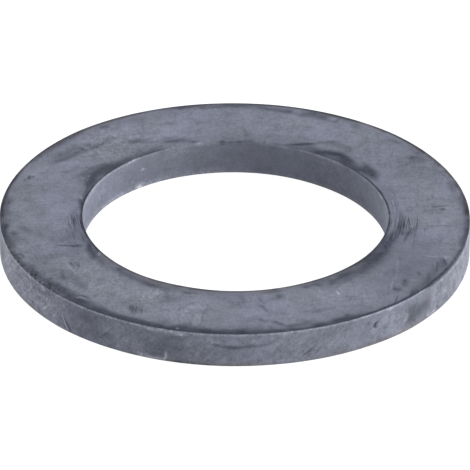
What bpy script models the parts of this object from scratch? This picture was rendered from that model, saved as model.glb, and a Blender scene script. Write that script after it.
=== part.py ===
"""Flat rubber gasket for a 1 1/4 inch waste or cistern outlet: one moulded ring, nearly square-edged.

Lengths are in metres. The ring lies flat on Z = 0, and its axis is +Z through the origin.
"""

import math

import bpy

# Driving sizes of the ring. The bore clears a G 1 1/4 thread, which is 41.9 mm across.
OUTER_DIAMETER = 0.065
BORE_DIAMETER = 0.042
THICKNESS = 0.005

# The outer edges come off the mould a little rounder than those of the bore.
OUTER_EDGE_RADIUS = 0.00026
BORE_EDGE_RADIUS = 0.00018
# A rounded edge never takes up more than this share of the thickness or of the ring's width.
LARGEST_EDGE_SHARE = 0.3

# How finely the round shapes are divided.
STEPS_ROUND_RING = 180
STEPS_ROUND_EDGE = 3

# The finish: grey rubber with a dull, slightly blue bloom.
RUBBER_COLOUR = (0.20, 0.21, 0.265, 1.0)
RUBBER_ROUGHNESS = 0.6


def clear_scene():
    """Removes whatever the scene holds."""
    for old in list(bpy.data.objects):
        bpy.data.objects.remove(old, do_unlink=True)


def rubber():
    """The one material of the ring."""
    material = bpy.data.materials.new("grey_rubber")
    material.use_nodes = True
    shader = material.node_tree.nodes["Principled BSDF"]
    shader.inputs["Base Color"].default_value = RUBBER_COLOUR
    shader.inputs["Roughness"].default_value = RUBBER_ROUGHNESS
    shader.inputs["Metallic"].default_value = 0.0
    return material


def edge_radius(wanted):
    """The radius of a rounded edge, limited by the ring's thickness and width."""
    width = (OUTER_DIAMETER - BORE_DIAMETER) / 2
    return min(wanted, LARGEST_EDGE_SHARE * THICKNESS, LARGEST_EDGE_SHARE * width)


def rounded_corner(x, z, inward_x, inward_z, radius):
    """Points of a quarter circle that rounds the corner at (x, z), turning clockwise.

    inward_x and inward_z are 1 or -1, and point from the corner into the rubber.
    """
    centre_x = x + inward_x * radius
    centre_z = z + inward_z * radius
    middle = math.atan2(-inward_z, -inward_x)
    points = []
    for step in range(STEPS_ROUND_EDGE + 1):
        angle = middle + math.pi / 4 - math.pi / 2 * step / STEPS_ROUND_EDGE
        point = (centre_x + radius * math.cos(angle), 0.0, centre_z + radius * math.sin(angle))
        points.append(point)
    return points


def ring_section():
    """The closed section of the ring: down the outer wall, then back up the wall of the bore."""
    outer = OUTER_DIAMETER / 2
    bore = BORE_DIAMETER / 2
    outer_edge = edge_radius(OUTER_EDGE_RADIUS)
    bore_edge = edge_radius(BORE_EDGE_RADIUS)
    points = rounded_corner(outer, THICKNESS, -1, -1, outer_edge)
    points += rounded_corner(outer, 0.0, -1, 1, outer_edge)
    points += rounded_corner(bore, 0.0, 1, 1, bore_edge)
    points += rounded_corner(bore, THICKNESS, 1, -1, bore_edge)
    return points


def turned_ring(name, points, collection):
    """An object that turns the closed section once round the Z axis."""
    mesh = bpy.data.meshes.new(name)
    count = len(points)
    edges = [(i, (i + 1) % count) for i in range(count)]
    mesh.from_pydata(points, edges, [])
    ring = bpy.data.objects.new(name, mesh)
    collection.objects.link(ring)
    turn = ring.modifiers.new("turn", "SCREW")
    turn.axis = "Z"
    turn.angle = 2 * math.pi
    turn.steps = STEPS_ROUND_RING
    turn.render_steps = STEPS_ROUND_RING
    turn.use_smooth_shade = True
    return ring


def shade_by_face_size(ring):
    """Lets the wide faces set the shading, so that they look flat right up to the rounded edges."""
    ring.modifiers.new("face_size_normals", "WEIGHTED_NORMAL")


def main():
    clear_scene()
    collection = bpy.data.collections.new("flat_gasket")
    bpy.context.scene.collection.children.link(collection)
    ring = turned_ring("sealing_ring", ring_section(), collection)
    shade_by_face_size(ring)
    ring.data.materials.append(rubber())


main()
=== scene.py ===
"""Looks of a flat rubber gasket: grey with a smoky blue bloom, darker along its rims from rubbing and
painted shade.

Stains, scratches and light flecks are placed on the unrolled surface, in degrees round the ring and in
millimetres across each face.
"""

import itertools
import math

import bpy
import numpy as np
from mathutils import Matrix, Vector

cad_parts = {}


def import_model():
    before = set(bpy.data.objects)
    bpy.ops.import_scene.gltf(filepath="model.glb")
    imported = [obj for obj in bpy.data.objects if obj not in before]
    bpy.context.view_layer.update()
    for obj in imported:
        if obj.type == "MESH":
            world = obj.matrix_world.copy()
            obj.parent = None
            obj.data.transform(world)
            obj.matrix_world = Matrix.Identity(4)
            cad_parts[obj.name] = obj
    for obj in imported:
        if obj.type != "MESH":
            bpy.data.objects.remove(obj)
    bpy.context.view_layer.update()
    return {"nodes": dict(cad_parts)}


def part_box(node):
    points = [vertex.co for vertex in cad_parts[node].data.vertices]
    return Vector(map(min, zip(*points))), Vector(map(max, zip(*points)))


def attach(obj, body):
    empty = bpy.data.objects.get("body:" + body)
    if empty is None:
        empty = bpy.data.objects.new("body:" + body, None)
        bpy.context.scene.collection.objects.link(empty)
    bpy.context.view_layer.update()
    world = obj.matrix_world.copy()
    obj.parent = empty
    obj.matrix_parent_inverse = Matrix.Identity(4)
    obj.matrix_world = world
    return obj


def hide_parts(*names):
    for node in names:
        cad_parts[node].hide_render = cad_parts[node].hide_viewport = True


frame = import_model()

# Lengths in this file are in millimetres, and a mesh, a lamp or the camera takes them in metres.
MM = 0.001

# Sizes of the ring, read from the frame.
LOW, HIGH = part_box("sealing_ring")
OUTER_RADIUS = (HIGH.x - LOW.x) / 2 / MM
HEIGHT = (HIGH.z - LOW.z) / MM
BORE_RADIUS = min(math.hypot(v.co.x, v.co.y) for v in frame["nodes"]["sealing_ring"].data.vertices) / MM
WIDTH = OUTER_RADIUS - BORE_RADIUS

# How round the edges are: the upper outer one, the upper one of the bore, and the two lower ones.
OUTER_EDGE_RADIUS = 0.18
BORE_EDGE_RADIUS = 0.14
FOOT_EDGE_RADIUS = 0.12

# How finely the surface is divided: steps round the ring, and rows across each face and each rounded edge.
STEPS_ROUND = 1000
ROWS_ON_TOP = 44
ROWS_ON_OUTER_WALL = 17
ROWS_ON_BORE_WALL = 15
ROWS_UNDERNEATH = 7
ROWS_ON_EDGE = 3
# How much the rows crowd towards the edges of a face, from 0 to 1.
CROWDING = 0.45
# How many random values the lattice of smooth_noise() has along each axis before it repeats.
LATTICE_SIZE = 48


# The surface as a grid

def rounded_section():
    """The closed section of the ring: radius, height, way and outward normal of its points.

    It runs across the top to the bore, down the bore's wall, back underneath and up the outer wall. Each
    face is a straight line whose points crowd towards its ends, and each corner a quarter circle. Way is the
    distance along the square section, from the outer top corner, as it was before its corners were rounded.
    """
    corners = ((OUTER_RADIUS, HEIGHT), (BORE_RADIUS, HEIGHT), (BORE_RADIUS, 0.0), (OUTER_RADIUS, 0.0))
    edge_radii = (OUTER_EDGE_RADIUS, BORE_EDGE_RADIUS, FOOT_EDGE_RADIUS, FOOT_EDGE_RADIUS)
    outward = ((0.0, 1.0), (-1.0, 0.0), (0.0, -1.0), (1.0, 0.0))
    counts = (ROWS_ON_TOP, ROWS_ON_BORE_WALL, ROWS_UNDERNEATH, ROWS_ON_OUTER_WALL)
    places, ways, normals = [], [], []
    way = 0.0
    for side in range(4):
        start, end = np.array(corners[side]), np.array(corners[(side + 1) % 4])
        length = np.linalg.norm(end - start)
        first, last = edge_radii[side], length - edge_radii[(side + 1) % 4]
        share = (np.arange(counts[side]) + 0.5) / counts[side]
        share = share - CROWDING * np.sin(2 * math.pi * share) / (2 * math.pi)
        along = first + (last - first) * share
        places.append(start + along[:, None] * (end - start) / length)
        ways.append(way + along)
        normals.append(np.tile(outward[side], (counts[side], 1)))
        way += length
        radius = edge_radii[(side + 1) % 4]
        turn = np.linspace(0, math.pi / 2, ROWS_ON_EDGE + 1)
        here, ahead = np.array(outward[side]), np.array(outward[(side + 1) % 4])
        normal = np.cos(turn)[:, None] * here + np.sin(turn)[:, None] * ahead
        places.append(end - radius * (here + ahead) + radius * normal)
        ways.append(way + radius * (turn / (math.pi / 4) - 1))
        normals.append(normal)
    places, normals = np.concatenate(places), np.concatenate(normals)
    return places[:, 0], places[:, 1], np.concatenate(ways), normals


def ramp(values, low, high):
    """0 below low, 1 above high, and a smooth S between them."""
    part = np.clip((values - low) / (high - low), 0, 1)
    return part * part * (3 - 2 * part)


def smooth_noise(points, cell, seed):
    """Value noise from -1 to 1: random values on a cubic lattice of this cell, blended smoothly between."""
    table = np.random.default_rng(seed).uniform(-1, 1, (LATTICE_SIZE,) * 3)
    scaled = points / cell
    low = np.floor(scaled).astype(int)
    part = ramp(scaled - low, 0, 1)
    total = np.zeros(points.shape[:-1])
    for corner in itertools.product((0, 1), repeat=3):
        weight = np.where(corner, part, 1 - part).prod(axis=-1)
        x, y, z = np.moveaxis((low + corner) % LATTICE_SIZE, -1, 0)
        total += weight * table[x, y, z]
    return total


SECTION_RADIUS, SECTION_HEIGHT, SECTION_WAY, SECTION_NORMAL = rounded_section()
PERIMETER = 2 * (WIDTH + HEIGHT)
ANGLE = np.arange(STEPS_ROUND)[:, None] * 360 / STEPS_ROUND
RADIUS = np.broadcast_to(SECTION_RADIUS, (STEPS_ROUND, len(SECTION_RADIUS)))
ROUND = np.stack([np.cos(np.radians(ANGLE)), np.sin(np.radians(ANGLE))], axis=-1)


def turned_about_axis(outwards, upwards):
    """Vectors at every point of the grid, from their part away from the axis and their part upwards."""
    upright = np.broadcast_to(np.reshape(upwards, (-1, 1)), RADIUS.shape + (1,))
    return np.concatenate([ROUND * outwards[..., None], upright], axis=-1)


GRID = turned_about_axis(RADIUS, SECTION_HEIGHT)
NORMAL = turned_about_axis(SECTION_NORMAL[:, 0], SECTION_NORMAL[:, 1])

# Each face has the way at which it starts, and the sense in which its own places count from there.
FACES = {
    "top": (0.0, 1),
    "outer_wall": (0.0, -1),
    "bore_wall": (WIDTH, 1),
    "underside": (2 * WIDTH + HEIGHT, -1),
}

# Marks have ragged borders, because their coordinates wander by these distances at these cell sizes.
WANDER = ((0.3, 1.7), (0.12, 0.6), (0.05, 0.28))


def wandering(seed):
    """How far one coordinate wanders at each point, in millimetres."""
    return sum(reach * smooth_noise(GRID, cell, seed + n) for n, (reach, cell) in enumerate(WANDER))


DRIFT_ALONG = wandering(seed=10)
DRIFT_ACROSS = wandering(seed=20)

# How much of that wander lines, stripes, and the wear and painted light along the edges take. A patch takes
# this much for each millimetre of its smaller reach, and never more than the whole.
LINE_WANDER = 0.3
STRIPE_WANDER = 0.5
WEAR_AND_LIGHT_WANDER = 0.15
PATCH_WANDER = 1.6

# A patch has faded to about a third at these multiples of its reach along and across, and this power says
# how steep its border is.
PATCH_SPREAD_ALONG = 1.1
PATCH_SPREAD_ACROSS = 1.4
PATCH_STEEPNESS = 2.5

# A line is drawn this many times as strong as its tone says. At its ends this share of that is left, and it
# fades out between these two distances beyond its width. Offsets from it are kept up to so many widths.
LINE_GAIN = 1.5
SHARE_AT_LINE_END = 0.3
LINE_FADE = (0.24, 0.42)
FURTHEST_OFFSET = 9.0


def place_on(face):
    """How far each point lies across a face: from the outer edge on a flat face, from the top on a wall."""
    start, sense = FACES[face]
    return sense * ((SECTION_WAY - start + PERIMETER / 2) % PERIMETER - PERIMETER / 2)


def offsets(face, angle, place, wander):
    """Distances along the ring and across the face from a place on it, in millimetres."""
    turn = (ANGLE - angle + 180) % 360 - 180
    along = np.radians(turn) * RADIUS + wander * DRIFT_ALONG
    across = place_on(face) - place + wander * DRIFT_ACROSS
    return along, across


def patch(face, angle, place, reach_along, reach_across, lean=0):
    """A soft oval: 1 at its centre, falling off like a bell, with its long axis leaning across the face."""
    wander = min(1.0, PATCH_WANDER * min(reach_along, reach_across))
    along, across = offsets(face, angle, place, wander)
    turn = math.radians(lean)
    forward = (along * math.cos(turn) + across * math.sin(turn)) / (PATCH_SPREAD_ALONG * reach_along)
    sideways = (across * math.cos(turn) - along * math.sin(turn)) / (PATCH_SPREAD_ACROSS * reach_across)
    return np.exp(-np.hypot(forward, sideways) ** PATCH_STEEPNESS)


def strokes(lines):
    """The nearest of many fine lines: how many widths off it each point lies, with a sign, and its tone.

    The offset is the distance to the line's nearest segment, above 0 on its one side and below 0 on the
    other, so that it stays straight from one grid point to the next. The tone fades towards both ends of a
    line and beyond a few steps of the grid from it.
    """
    nearest = np.full(RADIUS.shape, np.inf)
    offset = np.full(RADIUS.shape, FURTHEST_OFFSET)
    tone = np.zeros(RADIUS.shape)
    for face, turn, width, depth, *points in lines:
        first_angle, first_place = points[0]
        radius = np.interp(first_place, (0, WIDTH), (OUTER_RADIUS, BORE_RADIUS))
        radius = {"outer_wall": OUTER_RADIUS, "bore_wall": BORE_RADIUS}.get(face, radius)
        along, across = offsets(face, first_angle + turn, first_place, LINE_WANDER)
        along = along / RADIUS * radius
        corners = [
            (math.radians(angle - first_angle) * radius, place - first_place) for angle, place in points
        ]
        segments = list(zip(corners, corners[1:]))
        whole = sum(math.dist(start, end) for start, end in segments)
        passed = 0.0
        for start, end in segments:
            step_x, step_y = end[0] - start[0], end[1] - start[1]
            length = math.dist(start, end)
            x, y = along - start[0], across - start[1]
            part = np.clip((x * step_x + y * step_y) / length ** 2, 0, 1)
            distance = np.hypot(x - part * step_x, y - part * step_y)
            side = np.where(x * step_y > y * step_x, 1, -1)
            share = (passed + part * length) / whole
            strength = SHARE_AT_LINE_END + (1 - SHARE_AT_LINE_END) * np.sin(math.pi * share) ** 0.5
            strength = strength * (1 - ramp(distance, width + LINE_FADE[0], width + LINE_FADE[1]))
            closer = distance < nearest
            nearest = np.where(closer, distance, nearest)
            widths_off = np.clip(side * distance / width, -FURTHEST_OFFSET, FURTHEST_OFFSET)
            offset = np.where(closer, widths_off, offset)
            tone = np.where(closer, min(1.0, LINE_GAIN * depth) * strength, tone)
            passed += length
    return offset, tone


# Marks on the faces. A patch is its angle, place, reach along, reach across and tone, and where it leans,
# its lean comes before its tone. A line is its width and tone and the points it runs through, each an angle
# and a place. A tone above 0 is darker, one below 0 lighter. Seen from outside with the angle growing to the
# right, a lean above 0 runs down to the right.

TOP_PATCHES = (
    # Dark smears along the bore, at the back right.
    (33.6, 9.7, 1.5, 0.6, -6, 0.7), (34.4, 10.5, 1.7, 0.5, 0.66), (29.3, 10.2, 1.3, 0.4, -12, 0.34),
    (36.6, 9.2, 1, 0.35, -10, 0.48), (31.5, 9.4, 1, 0.4, -15, 0.3), (41.5, 10.6, 2, 0.42, 0.42),
    (44.5, 10.5, 1.2, 0.5, 0.34), (43.5, 9.9, 1, 0.3, -12, 0.42), (46, 9.9, 1.3, 0.42, -8, 0.52),
    (49.5, 9.8, 1.7, 0.5, 0.66), (49, 10.7, 1.6, 0.35, 0.4), (53, 10.2, 1.8, 0.6, 6, 0.68),
    (55.8, 10.5, 1.4, 0.5, 6, 0.62), (50, 8.2, 1.8, 0.55, -15, 0.22), (55, 7.7, 2, 0.45, 15, 0.2),
    (56.7, 7.3, 0.5, 0.28, 40, 0.25), (58.8, 8.2, 1.1, 0.3, 25, 0.2), (63, 9.4, 0.7, 0.3, 20, 0.5),
    (65.5, 10.1, 1, 0.33, 22, 0.5), (68.2, 10.7, 0.9, 0.3, 14, 0.35), (61.5, 9.9, 1.2, 0.5, 0.3),
    (64, 10.6, 1.8, 0.35, 0.4), (67, 9.2, 0.9, 0.8, 0.16), (74.5, 11.1, 0.9, 0.2, 10, 0.25),
    (78.5, 9.4, 0.5, 0.4, 0.25), (78.8, 11.1, 0.15, 0.32, 0.4), (85.5, 11.2, 1.2, 0.35, 0.35),
    (88.7, 11.5, 0.4, 0.3, 0.4), (86.5, 9.8, 0.3, 0.7, 0.2), (73, 9.8, 1.6, 0.6, 0.12),
    (76, 8.8, 1.2, 0.3, 0.14),
    # Smears and blots at the back left, with the large dark one beside the bore.
    (110.4, 4.5, 0.5, 0.25, 0.4), (109, 5.1, 0.8, 0.5, 0.22), (101.5, 5.4, 0.4, 0.5, 0.16),
    (116.5, 6.3, 1.3, 0.32, 15, 0.2), (117, 2, 1.1, 0.6, -5, 0.18), (112, 2.2, 0.7, 0.45, 0.15),
    (126.8, 1.4, 0.85, 0.4, 0.46), (136, 0.9, 1, 0.35, 0.3), (141.5, 0.8, 1.2, 0.35, 0.3),
    (129.3, 4.8, 1.2, 0.42, 0.5), (134, 5.1, 1.3, 0.42, 0.5), (131.5, 5.3, 1.2, 0.3, 0.35),
    (129, 4.2, 0.7, 0.2, 0.2), (122.5, 7.4, 1, 0.4, -10, 0.42), (124.8, 7.3, 1, 0.42, -10, 0.46),
    (122.8, 8, 1.2, 0.3, -20, 0.5), (119.5, 7.8, 0.8, 0.2, 10, 0.38), (119.5, 8.8, 1.2, 0.2, -10, 0.32),
    (128, 6.8, 0.9, 0.2, -10, 0.36), (113.8, 9.6, 1.1, 0.32, -3, 0.48), (110.6, 9.75, 1.1, 0.45, 0.5),
    (113.5, 8.6, 1.1, 0.24, 0.42), (107, 10.5, 1.2, 0.25, -18, 0.32), (105.2, 10.9, 0.6, 0.25, 0.3),
    (104, 9.7, 1.6, 0.2, 0.12), (92, 10.6, 1, 0.35, 0.25), (95, 11.5, 0.4, 0.4, 0.5),
    (92, 11.5, 1, 0.2, 0.4), (121.5, 10.5, 0.9, 0.25, 0.3), (124, 10.9, 1.8, 0.35, 0.25),
    (130.5, 11, 1.8, 0.36, 0.34), (134.3, 10.5, 0.8, 0.35, 0.34), (126, 9.9, 3, 0.8, 10, 0.2),
    (136.7, 4.1, 0.35, 0.6, 10, 0.46), (139.3, 4.1, 0.4, 0.5, 10, 0.42), (138, 5.1, 1.7, 0.36, 0.45),
    (145, 4.3, 2, 0.34, -14, 0.48), (148.9, 3.6, 1.1, 0.34, -22, 0.42), (143.5, 3.4, 2.8, 0.85, -8, 0.46),
    (141.5, 4.7, 1, 0.4, -5, 0.36), (150.5, 6.7, 1.2, 0.3, -10, 0.26), (153.3, 6.1, 0.3, 0.45, 10, 0.3),
    (141, 7.3, 0.8, 0.25, 15, 0.15), (150.5, 10.1, 3.2, 0.8, 4, 0.5), (145, 10.4, 2.4, 0.7, -5, 0.5),
    (141, 10.6, 1.6, 0.6, -10, 0.45), (155, 10.5, 2, 0.45, 10, 0.5), (149, 9.3, 2.6, 0.5, -3, 0.3),
    (147.2, 8.55, 1, 0.28, -8, 0.44), (152.5, 8.5, 1.2, 0.32, 0.46), (136, 10.8, 1.8, 0.4, -6, 0.3),
    (158.5, 10.9, 1, 0.4, 10, 0.5), (162.5, 11, 1.2, 0.24, 8, 0.5), (170.5, 10.6, 0.6, 0.2, 0.45),
    (171, 10.95, 2, 0.2, 3, 0.55), (178, 10.4, 1, 0.15, -15, 0.3), (160.7, 2.15, 0.6, 0.17, 12, 0.8),
    (159.8, 2.55, 0.35, 0.15, 0.65), (162.3, 1.8, 0.45, 0.12, 15, 0.5), (157.5, 3.3, 0.5, 0.2, 10, 0.25),
    (161, 3.4, 0.5, 0.15, 8, 0.3), (158.7, 2.4, 0.5, 0.09, 10, -0.35), (168.8, 3, 0.2, 0.15, 0.3),
    (168.6, 3.5, 0.25, 0.12, 0.25), (168.5, 10.75, 0.4, 0.1, 8, -0.35), (153.9, 8.7, 0.4, 0.1, 15, -0.35),
    (153.5, 9.6, 0.6, 0.09, 12, -0.25), (155.3, 9.3, 0.7, 0.09, 12, -0.22),
    # The left side.
    (190, 0.5, 2, 0.42, 0.68), (187, 0.8, 0.7, 0.24, -5, 0.6), (195.5, 0.9, 2, 0.5, -8, 0.5),
    (190.6, 1.7, 0.45, 0.33, 0.5), (193, 1.9, 1.2, 0.28, 0.3), (201.2, 1, 0.3, 0.35, 0.6),
    (202.3, 1.35, 0.6, 0.17, 10, 0.6), (203.2, 0.8, 0.4, 0.3, -30, 0.52), (202.3, 0.95, 0.22, 0.16, -0.25),
    (206.7, 0.6, 0.45, 0.2, -20, 0.55), (210.5, 0.9, 1.4, 0.4, -10, 0.52), (214.5, 0.7, 1.3, 0.5, 0.6),
    (218, 1.1, 1.5, 0.5, 10, 0.48), (221.5, 1.3, 1.3, 0.5, 0.48), (216, 1.95, 0.35, 0.25, -30, 0.52),
    (219.3, 1.9, 0.6, 0.3, -20, 0.5), (222.2, 1.9, 0.6, 0.3, -10, 0.38), (209, 1.5, 0.8, 0.3, -20, 0.3),
    (224, 1.9, 0.8, 0.5, 0.35), (188.5, 3.1, 1, 0.5, 10, 0.3), (190.5, 3.8, 0.9, 0.5, 10, 0.28),
    (194, 2.7, 0.4, 0.4, 0.2), (193, 5.2, 1.3, 0.4, 15, 0.2), (195.7, 6.4, 0.7, 0.28, 0.25),
    (197, 8.5, 1.2, 1.4, 0.22), (190, 10.6, 3.2, 0.7, 0.2), (195.5, 9.2, 1, 0.4, 0.15),
    (202.3, 8.7, 0.35, 0.42, 10, 0.35), (202.8, 9.4, 0.3, 0.3, 0.15), (205, 8.5, 1.8, 0.9, -35, 0.16),
    (217.8, 3.3, 0.6, 0.3, -20, 0.3), (214.3, 6.7, 0.6, 0.3, -10, 0.2), (216.5, 3.7, 1.1, 0.26, -25, 0.46),
    (219.8, 4.4, 1, 0.5, 0.36), (223.7, 4, 1.3, 0.5, 0.46), (205.5, 10.4, 1.2, 0.33, -20, 0.6),
    (209, 10.4, 1.5, 0.5, 0.56), (210.8, 10.2, 0.9, 0.4, -20, 0.45), (212.2, 9.6, 0.6, 0.38, -40, 0.48),
    (203, 10.8, 0.9, 0.25, -15, 0.5), (198, 10.9, 1.2, 0.2, -15, 0.32), (216, 9.9, 1.1, 0.4, 0.28),
    (224.3, 10.6, 0.5, 0.4, -40, 0.45), (223, 9.9, 0.8, 0.2, -20, 0.22), (211.3, 10.8, 0.5, 0.2, -0.3),
    # The front.
    (225.5, 1.2, 1.2, 0.8, 0.5), (229.3, 1, 0.9, 0.35, 0.5), (228.6, 2.25, 0.8, 0.16, 5, 0.4),
    (256.4, 0.65, 0.25, 0.18, -0.18), (258.5, 1.9, 0.5, 0.35, -20, 0.32), (257.5, 2.4, 0.9, 0.4, 0.16),
    (252.5, 1.6, 0.8, 0.2, 0.25), (238, 4.2, 0.9, 0.6, 0.2), (239.5, 5.5, 0.7, 0.55, -30, 0.28),
    (237.5, 5.8, 0.4, 0.2, 30, -0.26), (242.8, 6.7, 1.5, 1.3, -0.13), (243.6, 8.2, 1, 0.8, -35, -0.14),
    (246, 5.4, 0.7, 0.2, -20, 0.32), (249.5, 4.4, 0.3, 0.3, -35, 0.28), (247.5, 7.4, 1.3, 0.7, -20, 0.2),
    (251, 8, 1.2, 0.6, -10, 0.14), (246.8, 8.9, 0.5, 0.5, -30, 0.24), (256.8, 7.4, 0.35, 0.3, -35, 0.28),
    (253.4, 9.8, 0.6, 0.25, 0.46), (256, 9.95, 0.7, 0.12, 0.3), (257.5, 4.3, 1.9, 2, -0.1),
    (265.5, 4.5, 2, 3.2, 0.06), (242, 9.8, 1.8, 0.33, -3, 0.42), (239, 9.7, 0.8, 0.25, 0.33),
    (245.2, 9.2, 0.5, 0.3, -30, 0.42), (234, 10.1, 2.5, 0.4, -5, 0.3), (227.5, 10.2, 1.4, 0.4, -5, 0.33),
    (286.5, 1.4, 1.6, 0.36, 0.34), (289.2, 1.95, 0.9, 0.24, 0.3), (283.8, 1.4, 0.7, 0.33, 0.32),
    (274, 1.2, 2, 0.45, 0.24), (279.3, 1.3, 0.33, 0.5, 10, 0.38), (278.3, 3.2, 0.5, 0.28, 0.38),
    (277, 3.6, 0.35, 0.25, -20, 0.36), (275, 4, 0.8, 0.5, 0.2), (280.8, 2.8, 0.4, 0.3, 0.4),
    (282, 2.1, 0.4, 0.24, -20, 0.3), (292.8, 4, 0.8, 0.3, -8, 0.28), (296.5, 4.1, 1.1, 0.3, -5, 0.2),
    (278.7, 8.8, 0.33, 0.65, 15, 0.32), (272.8, 9.2, 0.3, 0.6, 0.2), (284.2, 9, 1.3, 0.5, 10, 0.34),
    (285.6, 9.5, 0.5, 0.38, 20, 0.4), (282, 10.6, 1.3, 0.2, 0.36), (285.5, 10.8, 0.6, 0.28, 0.25),
    (296, 10.4, 0.5, 0.3, -30, 0.46), (298, 10.3, 0.7, 0.3, 0.28), (300.2, 10, 0.35, 0.5, 25, 0.42),
    (302.5, 10.6, 0.9, 0.3, 0.25), (296, 0.8, 0.9, 0.35, 0.48), (299.5, 0.8, 1.8, 0.48, 0.52),
    (299.2, 1.4, 0.5, 0.3, 0.3), (291, 0.8, 1, 0.48, 0.4),
    # The front right and the right side, dark along the bore.
    (305.2, 9.4, 0.6, 0.25, 20, 0.48), (308, 10, 1.4, 0.34, 15, 0.32), (311.5, 9.8, 1.8, 0.62, 15, 0.4),
    (313.8, 10.4, 1.4, 0.6, 10, 0.4), (309.5, 10.5, 1.2, 0.42, 0.32), (310.5, 8.8, 1.4, 0.3, 5, 0.3),
    (305.8, 10.3, 0.4, 0.3, 0.4), (307.5, 10.5, 0.9, 0.2, -0.08), (313.3, 3.8, 0.5, 0.5, 0.2),
    (317.2, 3, 0.5, 0.26, 35, 0.62), (317.8, 2.5, 0.45, 0.2, 20, 0.55), (321.2, 3, 0.9, 0.26, 25, 0.5),
    (322.3, 3.6, 0.5, 0.2, 15, 0.5), (327.7, 2.9, 0.5, 0.24, 45, 0.5), (336, 4.5, 0.35, 0.2, -20, 0.32),
    (321.7, 6.4, 0.5, 0.2, 30, 0.22), (347, 3.6, 0.9, 0.12, 5, 0.28), (357, 4.45, 0.7, 0.2, 0.32),
    (322, 5, 4.5, 3.2, 0.19), (335, 5, 5, 3.4, 0.25), (319, 0.7, 0.9, 0.35, 35, 0.46),
    (331, 1.2, 3.2, 0.7, 8, 0.08), (324, 0.8, 1.8, 0.5, 0.32), (335.5, 1.5, 1.4, 0.35, 30, 0.36),
    (328, 1.5, 1.2, 0.2, 30, 0.26), (331.5, 1.9, 1.2, 0.2, 30, 0.24), (338.5, 1.5, 0.5, 0.5, -0.22),
    (349, 8.2, 0.8, 0.36, -5, 0.48), (351, 8.2, 2.6, 0.9, 0.14), (356, 10.1, 2.6, 0.7, 0.12),
    (323, 9.6, 2.4, 0.75, 12, 0.36), (327.5, 9.9, 2.4, 0.7, 8, 0.36), (318.5, 9.5, 1.5, 0.6, 10, 0.32),
    (334, 10.1, 3.4, 0.75, 0.48), (340.5, 10.1, 1.6, 0.6, 0.46), (343.5, 9.9, 0.9, 0.38, 15, 0.36),
    (345.8, 9.9, 1, 0.38, 0.46), (346.5, 10.4, 1, 0.3, 0.33), (350.5, 9.6, 1.4, 0.4, 0.42),
    (354, 9.9, 1.2, 0.25, 0.25), (3.8, 3.7, 0.33, 0.25, 0.7), (9.5, 5.3, 0.33, 0.35, 0.2),
    # Mottling under the back rim.
    (9, 1.1, 0.6, 0.3, 0.33), (15.5, 1.2, 1.8, 0.28, -8, 0.42), (21.5, 1.05, 0.5, 0.2, 0.34),
    (12, 1.6, 1.6, 0.4, 0.14), (32, 1.9, 1.2, 0.75, 25, 0.28), (33.8, 2.4, 0.35, 0.48, 0.24),
    (35.2, 1.2, 0.6, 0.3, 0.25), (43, 1.5, 1.1, 0.35, 0.28), (56.6, 1.5, 0.7, 0.42, 0.34),
    (62.5, 1.5, 0.35, 0.5, 0.4), (66.5, 1.5, 0.7, 0.6, 0.46), (64, 2, 1.4, 0.35, 0.34),
    (69.7, 1.2, 1.3, 0.9, 0.62), (75.5, 1.7, 0.7, 0.5, 0.46), (72, 2.1, 0.8, 0.4, 0.36),
    (77.5, 1.6, 1.4, 0.42, 0.4), (82.7, 1.4, 1.1, 0.45, 0.46), (80, 1.7, 1.2, 0.4, 0.3),
    (88, 1.1, 1.6, 0.45, 0.4), (63.5, 1.6, 0.35, 0.33, -0.22), (73.5, 1.4, 0.4, 0.33, -0.22),
    (81, 1, 0.4, 0.28, -0.22), (92, 0.9, 1.6, 0.45, 0.4), (95.5, 1.2, 1.5, 0.3, 0.4),
    (98.5, 1.3, 0.8, 0.48, 0.4), (104.3, 0.95, 0.5, 0.25, 0.42), (60.5, 3.3, 0.7, 0.33, 0.16),
    # Broad areas that are a little darker or lighter, and a few small marks.
    (30, 5.5, 5, 3, 0.07), (226, 6, 6, 3, -0.08), (250, 6, 5, 3, -0.06), (132, 6, 6, 3, -0.13),
    (304, 6.5, 3, 2.5, -0.05), (271, 4, 3, 3, 0.04), (124.8, 1.8, 0.3, 0.18, -0.25),
    (176.5, 1, 1.8, 0.35, 5, 0.36), (119.5, 1.6, 2, 0.5, -5, 0.12), (127, 4.4, 0.35, 0.25, -0.25),
    (168, 1.2, 1.2, 0.3, 10, 0.14), (45.5, 2.6, 0.9, 0.6, 0.1),
)

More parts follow.
